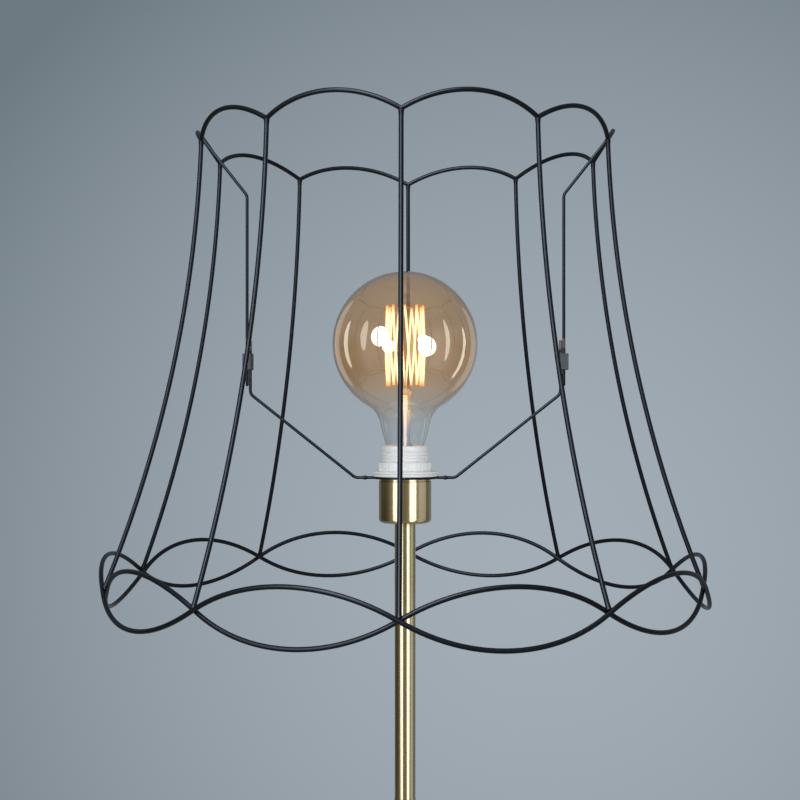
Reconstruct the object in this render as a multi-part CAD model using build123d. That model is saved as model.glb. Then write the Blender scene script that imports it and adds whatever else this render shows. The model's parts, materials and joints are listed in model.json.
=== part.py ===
"""Floor lamp with a wire cage shade.

A weighted round foot carries a brass pole in three screwed sections. A brass cup on the pole holds a
lamp holder with an outer thread, and a ring nut on that thread clamps the black wire carrier. The bell
cage of ten ribs hangs on the carrier in two sliding clamps, round a globe bulb.

Origin: centre of the foot, on the floor. +Z is up and -Y is the front. Millimetres.
"""
from build123d import *
import math
import os

# ---------------------------------------------------------------- clearances
run_gap = 0.3               # between curved faces that move past each other
fit_gap = 0.05              # radial gap of pieces that are fixed in each other
thread_gap = 0.1            # radial gap of a screw in its tapped hole
contact_gap = 0.2           # between the bulb's tip and the spring contact

# ---------------------------------------------------------------- foot
foot_diameter = 280.0
foot_crown_height = 27.0           # height of the cover in the middle
foot_shoulder_height = 21.0        # height of the cover at its rim
foot_edge_radius = 8.0
foot_crown_flat_radius = 28.0      # radius of the flat under the pole
cover_wall = 1.2
pad_thickness = 2.0
pad_width = 16.0
pad_inset = 6.0             # from the foot's edge
plate_thickness = 1.5
weight_thickness = 12.0
weight_inset = 6.0
weight_boss_radius = 26.0
weight_pocket_radius = 20.0
boss_roof = 7.3             # iron left between the pocket and the cover
base_screw_circle_diameter = 180.0
base_screw_count = 3
base_screw_diameter = 5.0
base_screw_length = 10.0
base_screw_head_diameter = 9.0
base_screw_head_height = 1.4
screw_tip_gap = 0.5         # left under the screw in its hole

# ---------------------------------------------------------------- lead and its inlet
lead_diameter = 5.0
lead_height = 8.0           # of its axis, where it lies in the foot
lead_bend_radius = 5.0
lead_slot_width = 9.0
lead_slot_gap = 1.0         # over the lead in its slot
gland_bore = 5.4
gland_diameter = 8.8
gland_flange_diameter = 10.8
gland_flange_thickness = 2.0

# ---------------------------------------------------------------- pole
pole_diameter = 18.0
pole_wall = 1.2
lower_tube_length = 520.0
middle_tube_length = 520.0
upper_tube_length = 236.0
coupler_band = 3.0
coupler_lip = 0.15          # how far the band stands out of the tube
coupler_spigot = 18.0
insert_length = 14.0
rod_diameter = 10.0         # hollow threaded rod
rod_bore = 7.0
rod_reach = 12.0            # how far it screws into an insert
rod_proud = 0.5             # of the foot's rod below its nut
nut_flats = 17.0
foot_nut_height = 5.5
top_nut_height = 4.0
foot_washer_diameter = 22.0
foot_washer_thickness = 1.5
collar_diameter = 32.0
collar_height = 10.0
collar_chamfer = 2.5

# ---------------------------------------------------------------- cup and lamp holder
cup_diameter = 45.4
cup_height = 38.0
cup_wall = 1.0
cup_corner = 4.0
holder_thread_diameter = 40.0
holder_thread_depth = 1.3
holder_thread_pitch = 2.5
holder_standout = 28.2      # of the holder's rim above the cup
holder_plain_top = 4.0
holder_plain_diameter = 38.8
holder_rim_chamfer = 0.6
holder_thread_runout = 0.5  # height over which the thread starts and ends
holder_bore = 33.4
holder_depth = 12.0         # how far the white skirt reaches down into the cup
holder_cap_wall = 2.0
holder_cap_neck = 16.0      # diameter of the cap's threaded neck
holder_cap_neck_height = 8.0
holder_cap_cone_height = 6.0
holder_cap_inset = 0.5      # of the cap inside the skirt's outer radius
block_thickness = 9.0
screw_shell_wall = 0.4
screw_shell_reach = 24.0    # height of the shell above the block
contact_strip_width = 6.0
contact_strip_thickness = 0.6
contact_strip_length = 16.0
contact_arch_foot = 3.0     # from the middle to where the strip leaves the block
contact_arch_top = 1.0      # from the middle to where the arch is level
contact_lip_reach = 4.0
contact_lip_height = 1.5    # of the strip's free end above the block
shell_foot_gap = 1.0        # between the strip's end and the shell's foot
terminal_spacing = 18.0
terminal_screw_diameter = 3.4
terminal_screw_length = 8.0
terminal_screw_head = 6.0
terminal_screw_head_height = 2.0

# ---------------------------------------------------------------- ring nut and slip washer
slip_washer_diameter = 55.2
slip_washer_thickness = 2.6
nut_flange_diameter = 57.0
nut_flange_thickness = 2.0
nut_sleeve_diameter = 44.8
nut_sleeve_height = 7.7
grip_rib_count = 36
grip_rib_height = 0.45
grip_rib_width = 1.6
grip_flat_every = 12        # a wide plain stretch after each such run of ribs
grip_flat_ribs = 3          # ribs left out there

# ---------------------------------------------------------------- carrier
carrier_ring_diameter = 57.0
carrier_ring_thickness = 1.8
carrier_wire = 2.5
arm_flat_reach = 43.0       # from the pole's axis to the arm's first bend
arm_reach = 133.4           # from the pole's axis to its upright end
arm_rise = 72.8             # height of its second bend above the cup
arm_upright_length = 45.0
arm_bend_radius = 7.0

# ---------------------------------------------------------------- clamps
sleeve_height = 14.0
sleeve_depth = 6.0
sleeve_wall = 1.2
sleeve_corner = 1.0
sleeve_below_arm_end = 10.3     # from the arm's upper end down to the sleeve
tongue_width = 4.0
tongue_thickness = 1.0
tongue_height = 4.5
spring_thickness = 0.4
spring_bow = 0.7
spring_width = 2.5
spring_height = 12.0

# ---------------------------------------------------------------- cage
hanger_overlap = 37.0       # of the hanger beside the arm's upright
hanger_straight_length = 163.0
hanger_rise = 52.5          # from its bend up to the top ring
hanger_bend_radius = 8.0
cage_wire = 3.5
rib_count = 10
cage_top_diameter = 351.8
cage_bottom_diameter = 508.6
cage_height = 368.2         # between the rib's two ends
rib_bow = 16.7              # how far a rib's middle hangs inside the straight line between its ends
scallop_rise = 15.4
scallop_lean = 1.1          # how far the tops of the scallops lie outside the ribs' ends
wave_height = 22.0
wave_straight_length = 8.0  # straight stretch of a waved ring where it crosses the other
wave_gap = 0.04             # between the two waved rings where they cross
rib_end_trim = 1.8          # the rib stops this far above the crossing's centre

# ---------------------------------------------------------------- bulb
globe_diameter = 125.0
bulb_length = 176.0
bulb_tip_height = 2.2       # of the bulb's tip above the cup
glass_wall = 0.8
neck_start_drop = 54.0           # below the globe's centre, where the globe runs into the neck
neck_diameter = 42.4
neck_drop = 69.0            # below the globe's centre, where the neck is that wide
neck_end_diameter = 26.8
neck_end_drop = 90.0
cap_thread_diameter = 26.1
cap_thread_depth = 0.9
cap_thread_pitch = 3.629
cap_thread_turns = 4
cap_skirt_height = 3.0
cap_skirt_step = 1.0
cap_skirt_diameter = 27.6
cap_wall = 0.4
tip_diameter = 9.0
tip_thickness = 1.2
tip_inset = 0.5             # of the tip inside the insulator's edge
insulator_height = 3.4
insulator_rim_height = 0.8
stem_diameter = 9.0
stem_wall = 1.0
stem_press = 12.0           # solid length under the button
stem_button_diameter = 11.4
stem_button_height = 6.0
stem_button_drop = 41.3     # of the button's centre below the globe's centre
stem_flare_height = 9.0
filament_diameter = 31.0
filament_top_height = 32.1  # above the globe's centre
filament_bottom_drop = 35.1 # below it
filament_wire = 0.7
filament_turn_diameter = 0.84   # of the tight turn round each hook
filament_hooks_per_end = 9
hook_wire = 0.5
lead_in_wire = 0.7
lead_in_spacing = 2.6

# ---------------------------------------------------------------- heights, from the floor up
plate_z = pad_thickness
weight_z = plate_z + plate_thickness
cover_roof_z = foot_crown_height - cover_wall
pocket_roof_z = cover_roof_z - boss_roof
foot_washer_z = pocket_roof_z - foot_washer_thickness
foot_nut_z = foot_washer_z - foot_nut_height
rod_bottom_z = foot_nut_z - rod_proud
lower_z = foot_crown_height
band_lower_z = lower_z + lower_tube_length
middle_z = band_lower_z + coupler_band
band_upper_z = middle_z + middle_tube_length
upper_z = band_upper_z + coupler_band
cup_z = upper_z + upper_tube_length
cup_top_z = cup_z + cup_height
rim_z = cup_top_z + holder_standout
holder_z = cup_top_z - holder_depth
cap_z = cup_z + cup_wall + top_nut_height
block_top_z = holder_z + block_thickness
washer_z = cup_top_z + carrier_ring_thickness
nut_z = washer_z + slip_washer_thickness
arm_z = cup_top_z + carrier_ring_thickness / 2
arm_bend_z = cup_top_z + arm_rise
arm_end_z = arm_bend_z + arm_upright_length
sleeve_top_z = arm_end_z - sleeve_below_arm_end
hanger_z = arm_end_z - hanger_overlap
hanger_bend_z = hanger_z + hanger_straight_length
scallop_z = hanger_bend_z + hanger_rise
top_node_z = scallop_z - scallop_rise
bottom_node_z = top_node_z - cage_height
bulb_tip_z = cup_top_z + bulb_tip_height
globe_z = bulb_tip_z + bulb_length - globe_diameter / 2

# ---------------------------------------------------------------- radii
pole_radius = pole_diameter / 2
tube_bore = pole_radius - pole_wall
rod_radius = rod_diameter / 2
lead_radius = lead_diameter / 2
foot_radius = foot_diameter / 2
thread_radius = holder_thread_diameter / 2
carrier_bore = thread_radius + run_gap
cage_wire_radius = cage_wire / 2
cage_top_radius = cage_top_diameter / 2
cage_bottom_radius = cage_bottom_diameter / 2
scallop_radius = cage_top_radius + scallop_lean
rib_waist_radius = (cage_top_radius + cage_bottom_radius) / 2 - rib_bow
carrier_wire_radius = carrier_wire / 2
hanger_reach = arm_reach + carrier_wire + run_gap
cap_thread_radius = cap_thread_diameter / 2
screw_shell_bore = cap_thread_radius + run_gap
rib_step = 360 / rib_count
wave_offset = (cage_wire + wave_gap) / 2     # of each waved ring from the ribs' ends


# ---------------------------------------------------------------- basic shapes
def disc(radius, bottom, top):
    """Upright cylinder on the pole's axis."""
    return Pos(0, 0, bottom) * Cylinder(radius, top - bottom, align=(Align.CENTER, Align.CENTER, Align.MIN))


def collar(radius, bore, bottom, top):
    """Upright cylinder with a bore, on the pole's axis."""
    return disc(radius, bottom, top) - disc(bore, bottom, top)


def turned(outline):
    """Solid turned about the pole's axis from a closed outline of (radius, height)."""
    return revolve(Plane.XZ * make_face(outline), Axis.Z)


def turned_points(points):
    """Solid turned from the corners of its outline."""
    return turned(Polyline(*points, close=True))


def rod(diameter, start, end):
    """Round bar between two points."""
    run = Vector(*end) - Vector(*start)
    bar = Cylinder(diameter / 2, run.length, align=(Align.CENTER, Align.CENTER, Align.MIN))
    return Plane(origin=start, z_dir=run) * bar


def wire_along(path, diameter):
    """Round wire along a path of lines and arcs."""
    return sweep(Plane(origin=path @ 0, z_dir=path % 0) * Circle(diameter / 2), path=path)


def on_circle(radius, degrees, height):
    """Point at an angle from the front, turning towards +X."""
    turn = math.radians(degrees)
    return (radius * math.sin(turn), -radius * math.cos(turn), height)


def mirrored(solid):
    return mirror(solid, about=Plane.YZ)


def hex_nut(flats, bore, bottom, height):
    body = extrude(RegularPolygon(flats / 2, 6, major_radius=False), height)
    return Pos(0, 0, bottom) * body - disc(bore, bottom, bottom + height)


def thread_points(root, crest, pitch, bottom, turns):
    """Outline of ring-shaped thread ridges, from the bottom up."""
    points = []
    for turn in range(turns):
        z = bottom + turn * pitch
        points += [(root, z + 0.10 * pitch), (crest, z + 0.38 * pitch)]
        points += [(crest, z + 0.62 * pitch), (root, z + 0.90 * pitch)]
    return points


# ---------------------------------------------------------------- foot
def make_base_cover():
    """Spun cover: a filled shape less the same shape one wall smaller."""
    def filled(inset):
        edge = foot_radius - inset
        shoulder = foot_shoulder_height - inset
        crown = foot_crown_height - inset
        points = [(0, pad_thickness), (edge, pad_thickness), (edge, shoulder)]
        points += [(foot_crown_flat_radius, crown), (0, crown)]
        face = make_face(Polyline(*points, close=True))
        corner = face.vertices().sort_by(Axis.X)[-2:].sort_by(Axis.Y)[-1]
        return revolve(Plane.XZ * fillet(corner, foot_edge_radius - inset), Axis.Z)

    rod_hole = disc(rod_radius + thread_gap, 0, foot_crown_height)
    inside = (0, foot_radius - weight_inset, lead_height)
    outside = (0, foot_radius + gland_flange_thickness, lead_height)
    gland_hole = rod(gland_diameter + 2 * fit_gap, inside, outside)
    return filled(0) - filled(cover_wall) - rod_hole - gland_hole


def screw_places():
    step = 360 / base_screw_count
    return [on_circle(base_screw_circle_diameter / 2, step * k, 0) for k in range(base_screw_count)]


def make_base_weight():
    edge = foot_radius - weight_inset
    body = disc(edge, weight_z, weight_z + weight_thickness)
    body += disc(weight_boss_radius, weight_z, cover_roof_z)
    body -= disc(weight_pocket_radius, weight_z, pocket_roof_z)
    body -= disc(rod_radius + thread_gap, weight_z, cover_roof_z)
    slot_top = lead_height + lead_radius + lead_slot_gap
    slot = Box(lead_slot_width, edge, slot_top - weight_z, align=(Align.CENTER, Align.MIN, Align.MIN))
    body -= Pos(0, 0, weight_z) * slot
    hole_top = plate_z + base_screw_length + screw_tip_gap
    for x, y, _ in screw_places():
        hole = disc(base_screw_diameter / 2 + thread_gap, weight_z, hole_top)
        body -= Pos(x, y, 0) * hole
    return body


def make_base_plate():
    plate = disc(foot_radius - cover_wall - run_gap, plate_z, plate_z + plate_thickness)
    for x, y, _ in screw_places():
        plate -= Pos(x, y, 0) * disc(base_screw_diameter / 2 + thread_gap, plate_z, plate_z + plate_thickness)
    return plate


def make_base_pad():
    edge = foot_radius - pad_inset
    return collar(edge, edge - pad_width, 0, pad_thickness)


def make_base_screws():
    head = disc(base_screw_head_diameter / 2, plate_z - base_screw_head_height, plate_z)
    screw = head + disc(base_screw_diameter / 2, plate_z, plate_z + base_screw_length)
    return [Pos(x, y, 0) * screw for x, y, _ in screw_places()]


def make_foot_collar():
    edge = collar_diameter / 2
    bore = pole_radius + fit_gap
    top = foot_crown_height + collar_height
    points = [(bore, foot_crown_height), (edge, foot_crown_height), (edge, top - collar_chamfer)]
    points += [(edge - collar_chamfer, top), (bore, top)]
    return turned_points(points)


def make_cord_gland():
    """Rubber bush in the cover's back wall, with its flange outside."""
    inner = (0, foot_radius - weight_inset + run_gap, lead_height)
    wall = (0, foot_radius, lead_height)
    outer = (0, foot_radius + gland_flange_thickness, lead_height)
    bush = rod(gland_diameter, inner, wall) + rod(gland_flange_diameter, wall, outer)
    return bush - rod(gland_bore, inner, outer)


def make_inner_lead():
    """Sheathed lead from the gland to the middle of the foot, then up the pole to the holder."""
    start = (0, foot_radius - weight_inset + run_gap, lead_height)
    path = FilletPolyline(start, (0, 0, lead_height), (0, 0, holder_z), radius=lead_bend_radius)
    return wire_along(path, lead_diameter)


# ---------------------------------------------------------------- pole
def make_tube(bottom, length):
    return collar(pole_radius, tube_bore, bottom, bottom + length)


def make_insert(bottom):
    """Brazed insert that the hollow rod screws into."""
    return collar(tube_bore, rod_radius + fit_gap, bottom, bottom + insert_length)


def make_coupler(band_bottom):
    band_top = band_bottom + coupler_band
    spigot = disc(tube_bore - fit_gap, band_bottom - coupler_spigot, band_top + coupler_spigot)
    band = disc(pole_radius + coupler_lip, band_bottom, band_top)
    return spigot + band - disc(rod_bore / 2, band_bottom - coupler_spigot, band_top + coupler_spigot)


def make_hollow_rod(bottom, top):
    return collar(rod_radius, rod_bore / 2, bottom, top)


# ---------------------------------------------------------------- cup and lamp holder
def make_holder_cup():
    radius = cup_diameter / 2
    shell = fillet(disc(radius, cup_z, cup_top_z).edges().sort_by(Axis.Z)[0], cup_corner)
    hollow = disc(radius - cup_wall, cup_z + cup_wall, cup_top_z)
    hollow = fillet(hollow.edges().sort_by(Axis.Z)[0], cup_corner - cup_wall)
    return shell - hollow - disc(rod_radius + thread_gap, cup_z, cup_z + cup_wall)


def make_holder_cap():
    """Rear half of the holder: threaded neck, cone and skirt."""
    neck = holder_cap_neck / 2
    outer = thread_radius - holder_cap_inset
    inner = outer - holder_cap_wall
    bore = rod_radius + fit_gap
    cone_z = cap_z + holder_cap_neck_height / 2
    skirt_z = cone_z + holder_cap_cone_height
    neck_top = cap_z + holder_cap_neck_height
    points = [(bore, cap_z), (neck, cap_z), (neck, cone_z), (outer, skirt_z), (outer, holder_z)]
    points += [(inner, holder_z), (inner, skirt_z + holder_cap_wall / 2), (neck, neck_top), (bore, neck_top)]
    return turned_points(points)


def make_holder_shell():
    """White skirt: plain below, shade thread above the cup, plain chamfered rim."""
    root = thread_radius - holder_thread_depth
    bore = holder_bore / 2
    plain = holder_plain_diameter / 2
    thread_top = rim_z - holder_plain_top
    turns = int((thread_top - cup_top_z) / holder_thread_pitch)
    thread_bottom = thread_top - turns * holder_thread_pitch
    runout = holder_thread_runout
    points = [(bore, holder_z), (thread_radius, holder_z)]
    points += [(thread_radius, thread_bottom - runout), (root, thread_bottom)]
    points += thread_points(root, thread_radius, holder_thread_pitch, thread_bottom, turns)
    points += [(root, thread_top), (plain, thread_top + runout), (plain, rim_z - holder_rim_chamfer)]
    points += [(plain - holder_rim_chamfer, rim_z), (bore, rim_z)]
    return turned_points(points)


def make_contact_block():
    block = disc(holder_bore / 2 - fit_gap, holder_z, block_top_z)
    for side in (-1, 1):
        hole = disc(terminal_screw_diameter / 2 + fit_gap, holder_z, holder_z + terminal_screw_length)
        block -= Pos(side * terminal_spacing / 2, 0, 0) * hole
    return block


def make_screw_shell():
    """Thin sleeve that takes the bulb's screw cap, with a foot on the block."""
    outer = screw_shell_bore + screw_shell_wall
    sleeve = collar(outer, screw_shell_bore, block_top_z, block_top_z + screw_shell_reach)
    foot_bore = contact_strip_length / 2 + shell_foot_gap
    return sleeve + collar(outer, foot_bore, block_top_z, block_top_z + screw_shell_wall)


def make_centre_contact():
    """Bent strip on the block that touches the bulb's tip."""
    top = bulb_tip_z - contact_gap
    end = contact_strip_length / 2
    foot = contact_arch_foot
    arch = contact_arch_top
    lip = contact_lip_reach
    t = contact_strip_thickness
    z = block_top_z
    lip_z = z + contact_lip_height
    lower_side = [(-end, z), (-foot, z), (-arch, top - t), (foot, top - t), (lip, lip_z)]
    upper_side = [(lip + t, lip_z), (foot + t, top), (-arch - t, top), (-foot - t, z + t), (-end, z + t)]
    face = make_face(Polyline(*lower_side, *upper_side, close=True))
    return extrude(Plane.XZ * face, contact_strip_width / 2, both=True)


def make_terminal_screws():
    shank = disc(terminal_screw_diameter / 2, holder_z, holder_z + terminal_screw_length)
    head = disc(terminal_screw_head / 2, holder_z - terminal_screw_head_height, holder_z)
    return [Pos(side * terminal_spacing / 2, 0, 0) * (shank + head) for side in (-1, 1)]


# ---------------------------------------------------------------- ring nut and slip washer
def make_slip_washer():
    return collar(slip_washer_diameter / 2, carrier_bore, washer_z, nut_z)


def make_shade_nut():
    """Flange and ribbed sleeve, with a smooth bore over the holder's thread."""
    sleeve_top = nut_z + nut_flange_thickness + nut_sleeve_height
    rib_outer = nut_sleeve_diameter / 2
    core = rib_outer - grip_rib_height
    nut = disc(nut_flange_diameter / 2, nut_z, nut_z + nut_flange_thickness) + disc(core, nut_z, sleeve_top)
    on_outer_face = (Align.MAX, Align.CENTER, Align.MIN)
    rib = Box(2 * grip_rib_height, grip_rib_width, sleeve_top - nut_z, align=on_outer_face)
    for k in range(grip_rib_count):
        if k % grip_flat_every >= grip_flat_ribs:
            nut += Rot(0, 0, 360 / grip_rib_count * k) * Pos(rib_outer, 0, nut_z) * rib
    return nut - disc(carrier_bore, nut_z, sleeve_top)


# ---------------------------------------------------------------- carrier
def make_carrier_ring():
    return collar(carrier_ring_diameter / 2, carrier_bore, cup_top_z, washer_z)


def make_carrier_arm():
    """Right arm: level off the ring, up and out, then upright into the clamp."""
    edge = carrier_ring_diameter / 2
    corners = [(edge - carrier_wire_radius, 0, arm_z), (arm_flat_reach, 0, arm_z)]
    corners += [(arm_reach, 0, arm_bend_z), (arm_reach, 0, arm_end_z)]
    arm = wire_along(FilletPolyline(*corners, radius=arm_bend_radius), carrier_wire)
    return arm - disc(edge, arm_z - carrier_wire, arm_z + carrier_wire)


# ---------------------------------------------------------------- clamps
clamp_inner_x = arm_reach - carrier_wire_radius - fit_gap
spring_x = hanger_reach + carrier_wire_radius + run_gap
clamp_outer_x = spring_x + spring_thickness + spring_bow


def make_clamp_sleeve():
    """Folded sleeve round both wires, with a tongue on its front."""
    width = clamp_outer_x - clamp_inner_x
    middle = (clamp_outer_x + clamp_inner_x) / 2
    slot_depth = carrier_wire + 2 * run_gap
    bottom = sleeve_top_z - sleeve_height
    wall = RectangleRounded(width + 2 * sleeve_wall, sleeve_depth, sleeve_corner)
    wall -= Rectangle(width, slot_depth)
    sleeve = Pos(middle, 0, bottom) * extrude(wall, sleeve_height)
    on_front_face = (Align.CENTER, Align.MIN, Align.MIN)
    tongue = Box(tongue_width, tongue_thickness, tongue_height + sleeve_corner, align=on_front_face)
    return sleeve + Pos(middle, -sleeve_depth / 2, sleeve_top_z - sleeve_corner) * tongue


def make_clamp_spring():
    """Bowed leaf between the sleeve's outer wall and the hanger."""
    middle_z = sleeve_top_z - sleeve_height / 2
    low = middle_z - spring_height / 2
    high = middle_z + spring_height / 2
    back = clamp_outer_x
    t = spring_thickness
    front_bow = ThreePointArc((back - t, low), (back - t - spring_bow, middle_z), (back - t, high))
    back_bow = ThreePointArc((back, high), (back - spring_bow, middle_z), (back, low))
    ends = Line((back - t, high), (back, high)) + Line((back, low), (back - t, low))
    return extrude(Plane.XZ * make_face(front_bow + back_bow + ends), spring_width / 2, both=True)


# ---------------------------------------------------------------- cage
def make_top_ring():
    """Ten upward scallops, mitred where they meet at the ribs."""
    half = rib_step / 2
    chord_mid = Vector(*on_circle(cage_top_radius * math.cos(math.radians(half)), 0, top_node_z))
    top = Vector(*on_circle(scallop_radius, 0, scallop_z))
    chord_half = cage_top_radius * math.sin(math.radians(half))
    sagitta = (top - chord_mid).length
    radius = (chord_half ** 2 + sagitta ** 2) / (2 * sagitta)
    outward = (top - chord_mid).normalized()
    centre = top - outward * radius
    reach = 2 * math.atan(sagitta / chord_half) + 2 * cage_wire_radius / radius     # a little past the mitre

    def at(angle):
        return centre + outward * (radius * math.cos(angle)) + Vector(1, 0, 0) * (radius * math.sin(angle))

    scallop = wire_along(ThreePointArc(at(-reach), at(0), at(reach)), cage_wire)
    far = cage_top_diameter
    wedge_corners = [(0, 0), on_circle(far, -half, 0)[:2], on_circle(far, half, 0)[:2]]
    wedge_face = make_face(Polyline(*wedge_corners, close=True))
    wedge = Pos(0, 0, top_node_z - 2 * cage_wire) * extrude(wedge_face, scallop_rise + 4 * cage_wire)
    scallop = scallop & wedge
    ring = Rot(0, 0, half) * scallop
    for k in range(1, rib_count):
        ring += Rot(0, 0, half + rib_step * k) * scallop
    return ring


def wave_slope(node_radius):
    """Slope of a waved ring where it crosses the other, from its height and the size of its swings."""
    half = math.radians(rib_step / 2)
    side = wave_height * math.cos(half)
    base = node_radius * math.sin(half) + wave_straight_length / 2
    return math.atan2(side, base) + math.asin(wave_height / math.hypot(side, base))


def make_bottom_wave(node_radius, first_up):
    """Closed wire that swings up and down by turns: a short straight stretch at each rib, square to the rib's
    radius, and an arc from one stretch to the next."""
    half = math.radians(rib_step / 2)
    slope = wave_slope(node_radius)
    tangent_length = node_radius * math.tan(half) / math.cos(slope)
    half_turn = math.acos(math.cos(slope) * math.cos(half))
    bend_radius = (tangent_length - wave_straight_length / 2) / math.tan(half_turn)
    corner_radius = node_radius / math.cos(half)
    corner_height = tangent_length * math.sin(slope)
    corners = []
    for k in range(rib_count):
        up = 1 if (k % 2 == 0) == first_up else -1
        corners.append(on_circle(corner_radius, rib_step * (k + 0.5), bottom_node_z + up * corner_height))
    return wire_along(FilletPolyline(*corners, radius=bend_radius, close=True), cage_wire)


def make_front_rib(top_ring, inner_rises):
    """Bowed rib, its ends cut to the top ring and to the crossing of the two waved rings, of which the inner
    one rises or falls towards +X."""
    top = on_circle(cage_top_radius, 0, cage_height)
    middle = on_circle(rib_waist_radius, 0, cage_height / 2)
    bottom = on_circle(cage_bottom_radius, 0, 0)
    path = ThreePointArc(top, middle, bottom)
    rib = wire_along(path.trim(0, 1 - rib_end_trim / path.length), cage_wire)
    for side in (-1, 1):
        radius = cage_bottom_radius + side * wave_offset
        slope = wave_slope(radius) * (1 if inner_rises == (side < 0) else -1)
        x = wave_straight_length / 2 * math.cos(slope)
        z = wave_straight_length / 2 * math.sin(slope)
        rib -= rod(cage_wire, (-x, -radius, -z), (x, -radius, z))
    rib -= Pos(0, 0, -bottom_node_z) * top_ring
    return Pos(0, 0, bottom_node_z) * rib


def make_hanger(top_ring):
    """Right hanger: upright beside the arm, then out to the top ring."""
    corners = [(hanger_reach, 0, hanger_z), (hanger_reach, 0, hanger_bend_z), (scallop_radius, 0, scallop_z)]
    return wire_along(FilletPolyline(*corners, radius=hanger_bend_radius), carrier_wire) - top_ring


# ---------------------------------------------------------------- bulb
def make_bulb_glass():
    """Globe and neck from arcs that run into each other, less the same shape one wall smaller."""
    def filled(inset):
        radius = globe_diameter / 2 - inset
        start_angle = -math.asin(neck_start_drop / (globe_diameter / 2))
        start = (radius * math.cos(start_angle), globe_z + radius * math.sin(start_angle))
        waist = (neck_diameter / 2 - inset, globe_z - neck_drop)
        end = (neck_end_diameter / 2 - inset, globe_z - neck_end_drop)
        top = (0, globe_z + radius)
        globe = ThreePointArc(top, (radius, globe_z), start)
        shoulder = TangentArc(start, waist, tangent=globe % 1)
        neck = TangentArc(waist, end, tangent=shoulder % 1)
        close = Polyline(end, (0, globe_z - neck_end_drop), top)
        return turned(globe + shoulder + neck + close)

    return filled(0) - filled(glass_wall)


def make_bulb_stem():
    """Flared glass tube closed by a solid press, with a button on top."""
    outer = stem_diameter / 2
    inner = outer - stem_wall
    base = globe_z - neck_end_drop
    flare = neck_end_diameter / 2 - glass_wall - fit_gap
    flare_top = base + stem_flare_height
    button_mid = globe_z - stem_button_drop
    button_low = button_mid - stem_button_height / 2
    button_top = button_mid + stem_button_height / 2
    press_low = button_low - stem_press
    button = stem_button_diameter / 2
    points = [(flare, base), (flare, base + stem_wall), (outer, flare_top), (outer, button_low)]
    points += [(button, button_mid), (outer - stem_wall, button_top), (0, button_top), (0, press_low)]
    points += [(inner, press_low), (inner, flare_top), (flare - 2 * stem_wall, base)]
    return turned_points(points)


def filament_points():
    """Top and bottom turns about the globe's centre, in the order that the filament passes them."""
    count = 2 * filament_hooks_per_end
    points = []
    for k in range(count):
        height = filament_top_height if k % 2 == 0 else -filament_bottom_drop
        points.append(on_circle(filament_diameter / 2, 360 / count * k, height))
    return points


def make_filament():
    """One wire that runs up and down in a zigzag round the cage, open at the back."""
    points = filament_points()
    wire = Pos(*points[0]) * Sphere(filament_turn_diameter / 2)
    for start, end in zip(points, points[1:]):
        wire += rod(filament_wire, start, end)
        wire += Pos(*end) * Sphere(filament_turn_diameter / 2)
    return Pos(0, 0, globe_z) * wire


def make_filament_hooks():
    """Support rod on the button and a hook to each turn of the filament."""
    button_top = stem_button_height / 2 - stem_button_drop
    low_hub = button_top + hook_wire
    high_hub = filament_top_height - hook_wire
    reach = 1 - (filament_turn_diameter / 2 + fit_gap) / (filament_diameter / 2)
    hooks = rod(2 * hook_wire, (0, 0, button_top), (0, 0, filament_top_height))
    for x, y, z in filament_points():
        hub = high_hub if z > 0 else low_hub
        hooks += rod(hook_wire, (0, 0, hub), (x * reach, y * reach, hub + (z - hub) * reach))
    return Pos(0, 0, globe_z) * hooks


def make_lead_in_wires():
    """Two wires inside the stem, from the cap's inside to the press."""
    press_low = globe_z - stem_button_drop - stem_button_height / 2 - stem_press
    low = bulb_tip_z + tip_thickness + insulator_height
    places = (-lead_in_spacing / 2, lead_in_spacing / 2)
    return [rod(lead_in_wire, (x, 0, low), (x, 0, press_low)) for x in places]


cap_low_z = bulb_tip_z + tip_thickness + insulator_height
cap_high_z = globe_z - neck_end_drop


def make_bulb_cap():
    """Thin screw cap with a plain skirt round the end of the glass."""
    crest = cap_thread_radius
    root = crest - cap_thread_depth
    skirt = cap_skirt_diameter / 2
    inner = root - cap_wall
    thread_low = cap_high_z - cap_skirt_height - cap_thread_turns * cap_thread_pitch
    points = [(inner, cap_low_z), (root, cap_low_z)]
    points += thread_points(root, crest, cap_thread_pitch, thread_low, cap_thread_turns)
    points += [(root, cap_high_z - cap_skirt_height), (skirt, cap_high_z - cap_skirt_height + cap_skirt_step)]
    points += [(skirt, cap_high_z), (inner, cap_high_z)]
    return turned_points(points)


def make_cap_insulator():
    """Dark cone between the cap and its tip."""
    top = cap_thread_radius - cap_thread_depth
    low = bulb_tip_z + tip_thickness
    points = [(0, low), (tip_diameter / 2, low), (top, cap_low_z - insulator_rim_height)]
    points += [(top, cap_low_z), (0, cap_low_z)]
    return turned_points(points)


def make_tip_contact():
    return disc(tip_diameter / 2 - tip_inset, bulb_tip_z, bulb_tip_z + tip_thickness)


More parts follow.
